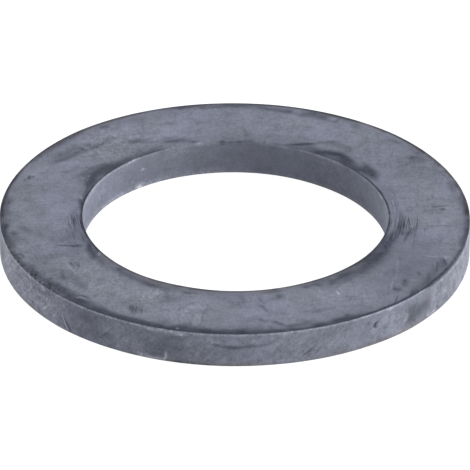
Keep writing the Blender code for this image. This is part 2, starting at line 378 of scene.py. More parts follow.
TOP_LINES = (
    (0.18, 0.3, (6.2, 2.9), (5.6, 3.6), (5.3, 5.2)),
    (0.24, 0.34, (60.2, 8.7), (62.8, 9.3), (65.5, 10), (68, 10.65), (70, 10.9)),
    (0.18, 0.2, (56.5, 7.1), (59, 7.9), (61, 8.6)),
    (0.2, 0.12, (105.4, 1.2), (106.8, 2.8), (108.2, 4.4), (109.8, 5)),
    (0.2, 0.38, (200.2, 6.6), (201.2, 7.7), (202.2, 8.6), (202.9, 9.6)),
    (0.12, -0.18, (227.4, 1.1), (227.7, 1.5), (228.4, 1.75), (229.7, 1.72)),
    (0.14, 0.45, (227, 1.9), (228.2, 2.2), (229.8, 2.2)), (0.14, 0.5, (211.4, 6.25), (212.8, 6.2)),
    (0.14, 0.35, (213, 7.05), (215.2, 6.85)), (0.12, -0.14, (210.5, 5.9), (214.5, 5.6), (218, 5.4)),
    (0.15, 0.42, (244.2, 2.3), (242.6, 4.2)), (0.15, 0.44, (243.2, 2.3), (241.4, 4.1)),
    (0.13, 0.38, (242.2, 2.6), (240.6, 4.1)), (0.12, 0.36, (245.6, 2.6), (244.3, 3.9)),
    (0.14, -0.12, (241.8, 6.2), (240.7, 7.9)), (0.14, -0.12, (243.4, 7), (241.4, 9)),
    (0.14, -0.12, (245.2, 7.6), (243, 9.3)), (0.16, -0.08, (259.9, 1.8), (259.6, 3), (259.4, 5.2)),
    (0.14, -0.05, (261, 1.6), (260.6, 4.6)), (0.12, 0.14, (261.6, 1.8), (261.4, 4), (261.9, 8)),
    (0.24, 0.28, (282.4, 1.9), (281.4, 2.5), (280.6, 3)), (0.34, 0.3, (280, 5.6), (279, 6.6), (278.2, 7.7)),
    (0.1, -0.14, (280.2, 5.6), (279.4, 7.2), (277.9, 8.6)),
    (0.14, -0.42, (302.9, 6.4), (303.4, 7), (303.7, 7.5)), (0.07, -0.26, (291.5, 7.2), (292.1, 7.9)),
    (0.07, -0.16, (286.8, 7.3), (288.1, 9.3)), (0.07, -0.2, (298.6, 8.2), (299.2, 9)),
    (0.07, -0.18, (290.9, 9.1), (291.5, 9.8)), (0.18, 0.35, (317.2, 0.2), (319.2, 1)),
    (0.14, 0.3, (319.5, 0.1), (320.8, 1)), (0.16, 0.42, (334.5, 0.7), (336, 1.2), (337.8, 1.9)),
    (0.14, 0.36, (330.5, 1.2), (333, 1.8), (336, 2.5)), (0.12, 0.4, (312.4, 0.6), (315, 1.4)),
    (0.12, 0.2, (333.5, 1.5), (336, 2.5)), (0.14, -0.12, (316.5, 3.5), (320.8, 4.9)),
    (0.26, -0.07, (321, 4.8), (326, 5.9), (332, 7.4)), (0.12, 0.2, (329.5, 6.2), (331, 6.9), (333, 7.5)),
    (0.12, 0.2, (321.5, 5.1), (325.5, 6.1)), (0.14, -0.14, (338.3, 2.3), (337.5, 3.5), (336.8, 4.6)),
    (0.14, 0.2, (355.2, 1.6), (354.8, 3.2), (354.4, 5), (353.4, 6.8)),
    (0.1, 0.22, (32, 6.9), (34, 6.2), (36, 5.7)), (0.1, 0.2, (33.5, 7.3), (35.5, 6.6)),
    (0.1, 0.2, (30.5, 4.8), (32, 4.1)), (0.1, 0.2, (37.5, 4.8), (39.5, 3.9)),
    (0.1, 0.22, (31, 6.2), (31.8, 5.2)), (0.1, 0.24, (10.5, 4.75), (12.5, 4.55)),
    (0.1, 0.2, (1, 5.3), (4.5, 5.2)), (0.1, 0.2, (5.5, 7.2), (9.5, 7.2)),
    # Fine dark and light lines that follow the ring, as if something had turned on it.
    (0.09, 0.22, (341.5, 6.95), (345, 7.25), (349, 7.35)), (0.09, 0.35, (346.5, 9), (350, 9.35)),
    (0.09, 0.25, (343.2, 8.35), (345.5, 8.5), (348.5, 8.5)),
    (0.09, 0.4, (350.4, 7.7), (352.5, 7.78), (354.3, 7.78)), (0.08, 0.3, (350, 8.15), (353, 8.2)),
    (0.09, 0.65, (351.5, 8.5), (355, 8.55), (359, 8.65)), (0.09, 0.25, (350.4, 6.1), (353.2, 6.25)),
    (0.08, 0.25, (350, 9.2), (355, 9.35), (362, 9.35)), (0.08, 0.3, (352, 10.4), (358, 10.45)),
    (0.08, 0.25, (353, 9.75), (358, 9.85), (364, 9.8)), (0.06, -0.12, (341.8, 7.15), (346.5, 7.45)),
    (0.06, -0.12, (350.5, 7.95), (354, 7.98)), (0.06, -0.12, (351, 8.35), (358, 8.38)),
    (0.06, -0.12, (350, 9), (357, 9.1)), (0.06, -0.1, (353, 10.15), (359, 10.2)),
    (0.06, -0.12, (343, 9.9), (347.5, 10.15)), (0.1, 0.4, (181.8, 9.9), (185, 10.05), (187.5, 10.1)),
    (0.1, 0.35, (182.5, 10.3), (185, 10.4), (188, 10.4)),
    (0.07, 0.22, (183.5, 9.5), (188, 9.5), (191, 9.6)), (0.08, 0.28, (190.5, 8.8), (193, 8.85)),
    (0.07, 0.28, (192.5, 9.5), (196, 9.5), (198.5, 9.4)),
    (0.08, 0.28, (195.5, 10.65), (198, 10.6), (201, 10.3)), (0.05, -0.12, (182.5, 9.62), (187, 9.65)),
    (0.05, -0.12, (183, 9.85), (188.5, 9.85), (192, 9.8)),
    (0.05, -0.1, (190, 10.1), (196, 9.9), (199, 9.6)), (0.08, 0.22, (6.5, 9.9), (9.5, 9.65)),
    (0.08, 0.22, (7, 10.3), (10, 10)), (0.05, -0.1, (7, 10.1), (10.5, 9.85)),
    (0.05, -0.1, (8, 10.6), (12, 10.3)),
)

OUTER_WALL_PATCHES = (
    # The wide patches that reach over the whole height of the wall make it lighter or darker round the ring:
    # painted light and shade for the way it faces, together with its own paler and darker areas. The thin
    # light strokes just under the top edge are wear and painted edge highlight.
    (206, 2.4, 5, 2, -0.28), (198, 2.4, 2.5, 2, -0.12), (217.5, 2.4, 3.6, 2, -0.28),
    (283, 2.4, 3.6, 2, -0.12), (311, 2.4, 3, 2.2, 0.08), (331, 2.4, 3.4, 2.2, 0.1),
    (342, 2.4, 4, 2.2, -0.16), (192, 2.6, 1.2, 0.6, -15, 0.25), (227, 1.5, 1.4, 0.6, 0.14),
    (232.6, 1.5, 1.4, 0.75, 0.26), (235.3, 1, 0.25, 0.4, 0.35), (238.3, 3.3, 0.9, 0.45, 0.3),
    (235, 3.4, 1.6, 0.6, 0.18), (242, 2.4, 4, 2, -0.1), (223.5, 2.4, 2, 2, -0.12), (260, 2.6, 2, 2, -0.06),
    (245, 1.8, 1.6, 0.5, -25, 0.12), (243, 3.4, 1.6, 0.5, -25, -0.12), (217.5, 0.4, 0.45, 0.26, -0.9),
    (212.3, 4.68, 0.9, 0.2, 0.3), (207.5, 4.68, 0.8, 0.18, 0.24), (203.2, 4.6, 0.9, 0.18, 0.24),
    (250, 0.4, 1, 0.14, -0.75), (253.7, 0.35, 1.1, 0.14, -0.65), (249.5, 0.9, 0.5, 0.14, 0.35),
    (257.5, 0.55, 0.6, 0.12, -0.7), (256, 1.1, 1.6, 0.22, -8, 0.25), (252.5, 3, 1.5, 0.9, 0.28),
    (255, 2, 1.4, 0.6, -20, 0.22), (257.2, 3, 1, 0.5, -30, 0.28), (251.2, 4.1, 1.4, 0.26, 0.36),
    (247.2, 4.6, 0.45, 0.26, -0.85), (249.3, 4.65, 0.5, 0.18, -0.6), (257.5, 4.75, 2, 0.24, 0.5),
    (262.5, 4.85, 2.4, 0.14, 0.35), (268, 4.85, 3.5, 0.12, 0.15), (264.5, 1.2, 0.7, 0.4, -0.32),
    (270.5, 1.3, 0.5, 0.15, -0.3), (275.5, 1.2, 0.8, 0.25, -0.16), (270.5, 2.15, 1.8, 0.22, 0.22),
    (282.5, 0.5, 0.6, 0.18, -0.35), (280.5, 3, 1.5, 0.5, -35, 0.12), (286.5, 4.3, 0.9, 0.3, -30, -0.22),
    (291, 1.9, 1, 0.4, -30, 0.12), (294, 2.8, 1, 0.45, -30, -0.14), (297, 1.6, 0.8, 0.3, -30, 0.12),
    (303.6, 1.35, 0.26, 0.16, 0.45), (310, 2.4, 2.4, 1.1, -0.16), (315.2, 2.8, 0.4, 0.6, 20, -0.16),
    (318.2, 2.8, 1.4, 1.1, -10, 0.54), (322.3, 2.5, 1.4, 1.1, 0.5), (317.4, 1.7, 0.9, 0.45, -20, 0.3),
    (317.2, 3.5, 0.8, 0.4, -30, 0.25), (326.8, 2.4, 0.6, 1.3, -0.22), (326.3, 4.7, 0.5, 0.2, -0.7),
    (322.3, 4.3, 0.25, 0.25, 0.5), (324, 4.5, 0.8, 0.18, -0.3), (331, 2.9, 0.7, 0.4, -30, -0.14),
    (333.8, 2.8, 0.6, 0.4, -30, 0.22), (332, 2, 0.9, 0.2, 20, 0.18), (331, 4.1, 0.9, 0.3, 15, 0.28),
    (334.5, 1.3, 1, 0.35, 20, 0.16), (310.3, 0.3, 0.6, 0.12, -0.35), (337, 3.2, 0.8, 0.4, -30, 0.2),
    (328.5, 1.6, 0.9, 0.4, -30, 0.2), (303, 4.6, 1.6, 0.16, 0.3), (308.5, 4.6, 1, 0.16, 0.28),
    (313.5, 4.7, 1.4, 0.14, 0.25), (318, 4.55, 1.2, 0.16, 0.3), (296, 4.5, 1.2, 0.16, 0.22),
)

OUTER_WALL_LINES = (
    (0.14, -0.26, (193, 3.5), (196, 2.3), (199, 0.7)), (0.14, 0.24, (195, 3.9), (198.5, 2.6), (201.5, 1)),
    (0.12, -0.2, (197, 3.9), (200.5, 2.6), (203, 1.2)), (0.14, 0.2, (203, 4), (206, 2.4), (208.5, 0.8)),
    (0.12, -0.2, (208, 4.2), (211, 2.6), (213.5, 1)), (0.14, -0.4, (217, 3.9), (218.5, 3.3), (219.8, 2.5)),
    (0.12, 0.22, (220.5, 3.6), (222.5, 2)), (0.12, -0.2, (221.5, 4), (223.8, 2.2)),
    (0.14, 0.6, (225.5, 2.9), (226.2, 3.6), (227.2, 4.3), (227.8, 5)),
    (0.12, 0.4, (224.3, 3.1), (225.4, 4.1), (226, 4.7)), (0.12, 0.24, (223.2, 2.9), (224.4, 4.3)),
    (0.11, -0.4, (224.9, 2.9), (225.7, 3.9), (226.8, 4.7)), (0.1, -0.2, (229, 3.8), (231.5, 2.2)),
    (0.1, -0.18, (236.5, 3.4), (239.5, 1.6)), (0.12, 0.2, (240.5, 3.9), (243.5, 2)),
    (0.14, -1, (253.9, 3.6), (253.8, 4.35), (253.4, 4.7), (252.4, 4.85)),
    (0.12, -0.5, (253.2, 4.78), (249, 4.82)),
    (0.22, 0.26, (262.8, 0.6), (264, 1.4), (267, 1.95), (270.5, 2.15), (274, 1.95), (278, 1.75), (280.2, 1)),
    (0.12, 0.28, (289.4, 2.8), (288, 3.5), (286.2, 4.2)),
    (0.12, 0.22, (291.4, 3), (290, 3.8), (288.2, 4.6)),
    (0.1, -0.25, (288, 2.8), (286.6, 3.6), (285.2, 4.3)),
    (0.18, 0.75, (306.3, 1.6), (305.5, 1.85), (305.3, 2.15), (306, 2.4)),
    (0.12, 0.2, (326, 3.6), (329, 4.8)), (0.14, -0.08, (330.5, 2.6), (332.5, 3.3), (334, 4.2)),
)

BORE_WALL_PATCHES = (
    # The light patches at the top of the wall are wear and painted edge highlight.
    (16, 0.3, 1.2, 0.22, -0.16), (30.5, 0.3, 0.5, 0.22, -0.22), (48, 0.15, 0.6, 0.15, -0.22),
    (60, 0.1, 1, 0.12, -0.2), (70.5, 0.1, 0.8, 0.12, -0.16), (88.5, 0.1, 0.4, 0.2, 0.3),
    (92.5, 0.25, 0.9, 0.12, 0.35), (95, 0.15, 0.4, 0.2, 0.5), (104, 0, 0.5, 0.3, -0.25),
    (112, 0.8, 1.2, 0.5, -0.1), (132.5, 0.15, 1, 0.15, -0.35), (137, 0.25, 1.1, 0.15, -0.35),
    (160, 0.5, 2.6, 0.3, 5, -0.2), (80, 2.4, 4, 2.2, 0.1), (124, 2.4, 2, 2.2, 0.07),
    (52, 2.4, 3, 2.2, -0.07), (129.8, 4.7, 0.8, 0.3, -0.95), (129.6, 4.75, 0.5, 0.2, -0.8),
    (144, 4.65, 0.7, 0.2, -0.5), (152, 2.2, 1, 0.8, -0.1),
)

BORE_WALL_LINES = ((0.15, -0.7, (127.75, 2.1), (128.55, 2.1)),)

# Where fine arcs follow the ring, as if something had turned on it.
TURNED_PATCHES = (
    (353.5, 8.7, 3.5, 1.4, -5, 0.75), (345, 8, 2.4, 1.1, 0.22), (357, 10.1, 3.2, 0.9, 0.65),
    (190, 10.1, 5, 0.8, -3, 0.5), (184, 10.2, 2, 0.6, 0.45), (8, 10, 4, 0.8, -5, 0.4),
    (2, 5.2, 2.4, 1, 0.3), (180, 0.8, 3.5, 0.5, 0.3), (3, 9.3, 3, 0.7, 0.4), (196, 9.6, 3.5, 0.8, -10, 0.3),
)

# How the bloom's tint changes over a face: a tone above 0 is more lavender, and one below 0 plainer grey.
TOP_TINTS = (
    (17, 4.8, 4, 1.8, -0.9), (3, 4.5, 2.5, 2.5, -0.8), (14, 9, 5, 1.6, 0.7), (30, 6, 4.5, 2.2, 0.4),
    (41, 6, 3, 3, 0.7), (12, 1.7, 1.6, 0.5, 0.9), (38.5, 9.4, 1.2, 0.7, -0.8), (52, 3.2, 2.6, 1.2, -0.9),
    (62, 5.5, 3, 2.6, 0.7), (70.5, 4.4, 2.4, 1.5, -0.9), (71, 7.3, 2.4, 1.2, 0.9), (54, 8, 2.2, 0.7, -1),
    (80.5, 5.5, 3, 3, 0.7), (69.7, 1.3, 1.1, 0.9, -0.9), (88, 6.5, 1.5, 1.6, -0.7), (66.5, 9, 1, 0.8, -0.8),
    (81, 8, 1.6, 1, 0.6), (100, 4.5, 6, 3.6, 0.7), (95, 1.8, 1, 0.5, -0.9), (115, 3.2, 2.4, 1.5, -1),
    (123, 4, 3.5, 2.2, 0.6), (132.5, 2, 1.2, 0.9, 1), (134.5, 7.2, 2.6, 1.6, -1), (127, 9.6, 4, 1.2, -0.8),
    (116, 9, 6, 1, 0.6), (140, 1.8, 3, 1, 0.6), (147, 5.4, 3, 1.3, 0.8), (142, 10.3, 2.2, 0.8, -1),
    (170, 3, 6, 2, -0.7), (167, 8, 6, 2, 0.6), (152.5, 10.8, 2, 0.6, 0.7), (187, 3.4, 4.5, 2.4, -0.8),
    (188, 8.5, 4, 2.2, 0.7), (201, 5.4, 2.6, 2.6, 0.9), (209, 3.8, 2.2, 2.4, -0.6),
    (210.5, 7.2, 1.5, 0.9, 1), (218, 7.8, 2.6, 1.6, -0.8), (221.5, 9.2, 1.2, 0.5, 0.8),
    (234, 5, 6, 3.6, -0.8), (243, 7.4, 1.8, 2, -0.9), (233.5, 9.5, 1.2, 0.5, 1),
    (252, 5.8, 1.8, 1.7, -15, 1), (258.5, 4.5, 1.4, 2.6, 0.9), (265.8, 4.8, 2, 3.6, -0.9),
    (271.5, 9.5, 1.8, 1, 1), (279.5, 5.5, 2.2, 3.6, 0.9), (285.5, 3.5, 1.4, 1.8, -0.6),
    (293.5, 4.6, 3.2, 1.6, 0.7), (293.5, 8, 2.6, 1.8, -0.9), (302, 7.6, 1, 1.8, 0.9),
    (308.5, 4, 3.4, 2.6, 0.4), (308, 7.6, 1.8, 1.2, -0.5), (322, 1.2, 2.2, 0.8, -0.5),
    (319.5, 8.2, 1.8, 1, -0.9), (327, 8.6, 2, 1.2, -0.7), (332, 4.5, 7, 3, 0.8), (342.5, 1.7, 2, 0.8, -0.9),
    (345, 7, 3.4, 1.6, 0.6), (357.5, 5, 1.8, 2.6, -0.9), (355.5, 10.3, 2.4, 0.7, 1),
)
OUTER_WALL_TINTS = (
    (206, 2.4, 4, 1.8, 0.7), (227.5, 1.5, 1.6, 0.8, 0.9), (275, 3.5, 7, 1, 0.6), (238, 2.5, 4, 2, -0.6),
    (256, 2, 3, 1.6, -0.7), (310.5, 2.4, 2.4, 1.6, 0.3), (318.5, 3, 1.4, 1.4, -0.9),
    (196.5, 3.4, 1.2, 0.6, -0.9), (340, 2.5, 5, 2, 0.3), (295, 2, 4, 1.2, -0.3),
)
BORE_WALL_TINTS = (
    (38, 3.5, 1.2, 0.7, 0.9), (48.5, 3.3, 1, 0.6, 0.8), (78.5, 3.5, 1, 0.6, 0.8), (94, 3.9, 2.6, 0.7, 0.9),
    (130.5, 3.7, 2.4, 0.7, 0.9), (157, 2.5, 5, 2.2, 0.6), (25, 1.8, 5, 1.4, -0.6), (66, 1.6, 4, 1.2, -0.6),
    (112, 1.8, 4, 1.4, -0.6),
)
# Brown stripes along the rims: first and last angle, place, reach and tone.
TOP_BROWNS = (
    (0, 48, 0.4, 0.35, 0.7), (48, 70, 0.6, 0.45, 0.8), (84, 107, 0.5, 0.4, 0.4), (114, 153, 0.4, 0.4, 0.7),
    (153, 186, 0.4, 0.35, 0.5), (193, 199, 1, 0.5, 0.7), (205, 262, 11.3, 0.3, 0.7),
    (235, 252, 10.6, 0.5, 0.6), (214, 219, 10.5, 0.5, 0.5), (252, 300, 11.1, 0.4, 0.6),
    (275, 285, 10.6, 0.4, 0.5), (300, 345, 11.2, 0.3, 0.6), (305, 310, 10.6, 0.3, 0.6),
    (315, 326, 10.8, 0.5, 0.4), (26, 31, 1.2, 0.4, 0.3), (90, 100, 11.2, 0.4, 0.4),
)
OUTER_WALL_BROWNS = (
    (252, 278, 4.7, 0.4, 1), (198, 218, 4.65, 0.4, 1), (188, 204, 2.5, 2.6, 0.4), (315, 321, 3, 1.2, 0.4),
    (322, 352, 2.5, 2.6, 0.3), (290, 325, 4.7, 0.35, 1),
)
BORE_WALL_BROWNS = ((25, 62, 4.7, 0.3, 0.8),)

# Dark bands along the rims of the top, dirt and rubbed rubber together with painted shade, and the broad
# faint ones
# right round only painted shade: first and last angle, width in millimetres and tone.
OUTER_RIM_BANDS = (
    (0, 360, 2.1, 0.06), (0, 360, 1.2, 0.08), (0, 360, 0.32, 0.4), (0, 100, 0.3, 0.3), (136, 180, 0.3, 0.3),
    (0, 18, 0.6, 0.65), (0, 8, 0.9, 0.3), (17, 26, 0.35, 0.4), (25, 37, 0.5, 0.7), (36, 49, 0.36, 0.5),
    (48, 54, 0.5, 0.65), (57, 68, 0.5, 0.65), (56, 68, 0.85, 0.18), (66, 82, 0.38, 0.4), (80, 93, 0.6, 0.5),
    (84, 93, 1.1, 0.12), (92, 99, 0.45, 0.4), (98, 108, 0.7, 0.6), (107, 116, 0.4, 0.3),
    (114, 135, 0.5, 0.45), (133, 153, 0.7, 0.5), (152, 164, 0.4, 0.55), (163, 182, 0.5, 0.6),
    (172, 187, 1, 0.3), (186, 196, 0.65, 0.35), (196, 216, 0.28, 0.75), (192, 207, 0.8, 0.45),
    (200, 220, 0.5, 0.65), (206, 218, 1.2, 0.4), (215, 236, 1.4, 0.7), (234, 242, 1, 0.72),
    (240, 257, 1, 0.75), (255, 264, 1.25, 0.75), (262, 273, 1.1, 0.75), (258, 290, 1.8, 0.2),
    (271, 285, 0.75, 0.68), (280, 292, 0.45, 0.55), (289, 303, 0.8, 0.5), (300, 316, 0.42, 0.7),
    (315, 345, 0.36, 0.5), (320, 330, 1.5, 0.12), (344, 354, 0.7, 0.6), (352, 360, 0.75, 0.5),
)
BORE_RIM_BANDS = (
    (0, 360, 2.6, 0.05), (0, 360, 1.5, 0.06), (0, 36, 0.22, 0.85), (36, 58, 0.22, 0.5),
    (56, 75, 0.22, 0.35), (118, 160, 0.24, 0.5), (158, 208, 0.24, 0.9), (205, 345, 0.3, 0.55),
    (343, 360, 0.22, 0.85), (35, 58, 0.6, 0.5), (56, 70, 0.45, 0.25), (118, 136, 0.6, 0.15),
    (134, 162, 0.8, 0.2), (164, 178, 0.55, 0.25), (180, 205, 2, 0.08), (210, 226, 1.5, 0.16),
    (224, 250, 1.7, 0.34), (248, 262, 0.4, 0.3), (248, 302, 1.2, 0.1), (300, 346, 2.4, 0.2),
    (313, 346, 0.5, 0.4),
)
# The bands are darkest this far inside the corner, in millimetres, and fade over about this much beyond it.
RIM_INSET = 0.12
RIM_SOFTNESS = 0.13
# On their inner side they fade between these multiples of their width, and wander by so much at most.
BAND_FADE = (0.5, 1.6)
LARGEST_BAND_WANDER = 0.9
# A band or stripe that doesn't run right round fades in and out over this many degrees on each side.
SOFT_END = 2

# Light bands along the edges of the walls, wear with a painted highlight at the top and painted light from
# the
# floor at the foot: first and last angle, place, reach and tone.
OUTER_EDGE_WEAR_AND_LIGHT = (
    (0, 322, 0.16, 0.14, 0.34), (347, 360, 0.16, 0.14, 0.34), (191, 199, 0.2, 0.2, 0.25),
    (204, 216, 0.16, 0.15, 0.35), (222, 254, 0.18, 0.12, 0.3), (246, 262, 0.2, 0.15, 0.12),
    (283, 307, 0.18, 0.14, 0.22), (325, 350, 0.55, 0.25, 0.2), (0, 360, 5, 1.2, 0.08),
)
BORE_EDGE_WEAR_AND_LIGHT = (
    (0, 360, 0.2, 0.15, 0.15), (9, 19, 0.2, 0.15, 0.2), (45, 66, 0.2, 0.15, 0.2),
    (130, 158, 0.2, 0.16, 0.35), (158, 175, 0.3, 0.2, 0.35), (95, 180, 5.1, 0.8, 0.5),
    (20, 95, 5.1, 0.6, 0.2),
)
# How much of the dark tone the wear and the painted light take off where they are strongest.
DARK_TAKEN_BY_WEAR_AND_LIGHT = 0.6
# Dark bands along the edges of the walls, in the same form: dirt, and at the foot, where the walls meet the
# floor, painted contact shade as well.
OUTER_EDGE_DIRT_AND_SHADE = (
    (0, 360, 5, 0.08, 0.05), (228, 254, 4.95, 0.1, 0.2), (254, 300, 4.92, 0.12, 0.25),
    (322, 348, 0.1, 0.16, 0.75),
)
BORE_EDGE_DIRT_AND_SHADE = ((0, 360, 5, 0.08, 0.1), (25, 62, 4.9, 0.1, 0.25))

# How far the marks are turned round the ring, in degrees, where the hidden faces carry them again.
UNDERSIDE_TURN = 137
OUTER_WALL_TURN = 171
BORE_WALL_TURN = 183


def along_arc(first, last):
    """1 between two angles and 0 outside them, with soft ends, for angles that don't pass 360."""
    if last - first >= 360:
        return np.ones(ANGLE.shape)
    begun = ramp(ANGLE, first - SOFT_END, first + SOFT_END)
    ended = ramp(ANGLE, last - SOFT_END, last + SOFT_END)
    return begun * (1 - ended)


def covered(tone, cover):
    """A tone after a mark that covers a share of what the marks before it left."""
    return 1 - (1 - tone) * (1 - cover)


def rim_band(face, rim, bands):
    """Dark tone along a rim: full at the rim, fading over each band's width, and ragged at its inner border.

    On the other side it ends at the rounded corner.
    """
    inwards = (place_on(face) - rim) * (1 if rim == 0 else -1) - RIM_INSET
    tone = np.zeros(RADIUS.shape)
    for first, last, width, depth in bands:
        full, end = BAND_FADE[0] * width, BAND_FADE[1] * width
        ragged = inwards + min(LARGEST_BAND_WANDER, width) * DRIFT_ACROSS
        distance = np.where(inwards > 0, ragged, -end * inwards / RIM_SOFTNESS)
        tone = covered(tone, depth * along_arc(first, last) * (1 - ramp(distance, full, end)))
    return tone


def stripe(face, stripes, wander=STRIPE_WANDER):
    """Tone of stripes that follow the ring, each falling off like a bell on both sides of its place."""
    tone = np.zeros(RADIUS.shape)
    for first, last, place, reach, depth in stripes:
        across = place_on(face) - place + wander * DRIFT_ACROSS
        tone = covered(tone, depth * along_arc(first, last) * np.exp(-(across / reach) ** 2))
    return tone


def on_all_faces(top, outer_wall, bore_wall):
    """Face, turn and marks of every face, those in sight and the hidden ones, which carry the same marks."""
    return (
        ("top", 0, top), ("underside", UNDERSIDE_TURN, top),
        ("outer_wall", 0, outer_wall), ("outer_wall", OUTER_WALL_TURN, outer_wall),
        ("bore_wall", 0, bore_wall), ("bore_wall", BORE_WALL_TURN, bore_wall),
    )


def patches_on(faces):
    """The shape and the tone of every patch."""
    for face, turn, marks in faces:
        for angle, place, reach_along, reach_across, *lean, tone in marks:
            yield patch(face, angle + turn, place, reach_along, reach_across, *lean), tone


def tinted():
    """How lavender the bloom of each point is, from -1 to 1, and how brown its rubber is, from 0 to 1."""
    lavender = np.zeros(RADIUS.shape)
    for shape, tone in patches_on(on_all_faces(TOP_TINTS, OUTER_WALL_TINTS, BORE_WALL_TINTS)):
        lavender += tone * shape
    browns = (
        stripe("top", TOP_BROWNS), stripe("underside", TOP_BROWNS),
        stripe("outer_wall", OUTER_WALL_BROWNS), stripe("bore_wall", BORE_WALL_BROWNS),
    )
    return np.clip(lavender, -1, 1), np.max(browns, axis=0)


def turned():
    """How strongly each point of the flat faces shows the fine arcs."""
    tone = np.zeros(RADIUS.shape)
    for shape, depth in patches_on(on_all_faces(TURNED_PATCHES, (), ())):
        tone = np.maximum(tone, depth * shape)
    return tone


def painted():
    """The dark and the light tone of each point."""
    dark = np.zeros(RADIUS.shape)
    light = np.zeros(RADIUS.shape)
    for shape, tone in patches_on(on_all_faces(TOP_PATCHES, OUTER_WALL_PATCHES, BORE_WALL_PATCHES)):
        if tone > 0:
            dark = covered(dark, tone * shape)
        else:
            light = covered(light, -tone * shape)
    # Dark bands: along the rims of the top dirt and rubbing with painted shade, and along the edges of the
    # walls dirt with painted contact shade at their foot.
    bands = (
        rim_band("top", 0.0, OUTER_RIM_BANDS), rim_band("top", WIDTH, BORE_RIM_BANDS),
        rim_band("underside", 0.0, OUTER_RIM_BANDS), rim_band("underside", WIDTH, BORE_RIM_BANDS),
        stripe("outer_wall", OUTER_EDGE_DIRT_AND_SHADE), stripe("bore_wall", BORE_EDGE_DIRT_AND_SHADE),
    )
    for band in bands:
        dark = covered(dark, band)
    # Along the edges of the walls: wear with its painted highlight, and the painted light from the floor at
    # their foot.
    for face, worn_and_lit in (("outer_wall", OUTER_EDGE_WEAR_AND_LIGHT), ("bore_wall", BORE_EDGE_WEAR_AND_LIGHT)):
        wear_and_light = stripe(face, worn_and_lit, WEAR_AND_LIGHT_WANDER)
        light = covered(light, wear_and_light)
        dark = dark * (1 - DARK_TAKEN_BY_WEAR_AND_LIGHT * wear_and_light)
    return dark, light


def lines_of(sense):
    """The dark lines for a sense of 1, or the light ones for -1, as strokes() takes them."""
    return [
        (face, turn, width, abs(tone), *points)
        for face, turn, lines in on_all_faces(TOP_LINES, OUTER_WALL_LINES, BORE_WALL_LINES)
        for width, tone, *points in lines if tone * sense > 0
    ]


def on_wall(sense):
    """1 on the outer wall for a sense of 1, or on the wall of the bore for -1, and 0 on the other faces."""
    return np.broadcast_to(np.clip(sense * SECTION_NORMAL[:, 0], 0, 1), RADIUS.shape)


# How far the rims stand from a true circle, in millimetres outwards, at these angles.
OUTER_ROUNDNESS = (
    (0, -0.05), (20, -0.03), (46, 0.1), (62, 0.03), (75, 0.05), (90, 0), (110, 0), (133, 0.12), (154, 0),
    (185, -0.05), (205, 0.06), (224, 0.12), (240, 0.04), (255, 0.06), (280, -0.04), (300, 0.02),
    (316, 0.13), (336, 0.08), (350, 0),
)
BORE_ROUNDNESS = (
    (0, 0.14), (14, 0.04), (30, -0.08), (56, -0.17), (75, -0.1), (100, -0.12), (120, -0.06), (145, 0),
    (165, -0.05), (190, -0.06), (215, -0.1), (234, -0.06), (250, -0.2), (270, -0.13), (300, -0.22),
    (315, -0.12), (328, 0.02), (345, 0.1),
)
# Relief in millimetres: depth and cell of the faces' slow waves and of their fine unevenness, the depth of
# the groove at a full dark line, and the height of the ridge at a full light one.
WAVE_DEPTH, WAVE_CELL = 0.02, 9.0
UNEVENNESS_DEPTH, UNEVENNESS_CELL = 0.01, 0.9
GROOVE_DEPTH = 0.03
RIDGE_HEIGHT = 0.009


def roundness(pairs):
    """Offset of a rim at each angle, as straight stretches between the pairs, right round the ring."""
    angles, distances = zip(*pairs)
    return np.interp(ANGLE, angles, distances, period=360)


def line_profile(line):
    """How deep a line's groove is at each point, as a share of that of a full line."""
    offset, tone = line
    return tone / (1 + offset ** 2)


def linked(name, data):
    """A new object of the scene that holds this mesh, lamp or camera."""
    thing = bpy.data.objects.new(name, data)
    bpy.context.scene.collection.objects.link(thing)
    return thing


def rubber_ring(dark_line, light_line):
    """The ring's mesh: the grid, out of round a little, with a shallow relief that only goes inwards."""
    share = (RADIUS - BORE_RADIUS) / WIDTH
    radial = roundness(OUTER_ROUNDNESS) * share + roundness(BORE_ROUNDNESS) * (1 - share)
    depth = WAVE_DEPTH * (0.5 + 0.5 * smooth_noise(GRID, WAVE_CELL, seed=31))
    depth = depth + UNEVENNESS_DEPTH * (0.5 + 0.5 * smooth_noise(GRID, UNEVENNESS_CELL, seed=32))
    depth = depth + GROOVE_DEPTH * line_profile(dark_line) - RIDGE_HEIGHT * line_profile(light_line)
    points = GRID + turned_about_axis(radial, np.zeros(len(SECTION_RADIUS)))
    points = points - NORMAL * np.maximum(depth, 0)[..., None]
    index = np.arange(RADIUS.size).reshape(RADIUS.shape)
    ahead = np.roll(index, -1, axis=0)
    quads = np.stack([index, ahead, np.roll(ahead, -1, axis=1), np.roll(index, -1, axis=1)], axis=-1)
    mesh = bpy.data.meshes.new("rubber_ring")
    mesh.from_pydata((points.reshape(-1, 3) * MM).tolist(), [], quads.reshape(-1, 4).tolist())
    mesh.shade_smooth()
    return linked("rubber_ring", mesh)


def store(ring, name, values):
    """Keeps one number per point of the ring under a name that its material reads."""
    attribute = ring.data.attributes.new(name, "FLOAT", "POINT")
    attribute.data.foreach_set("value", values.astype(np.float32).ravel())


# Materials

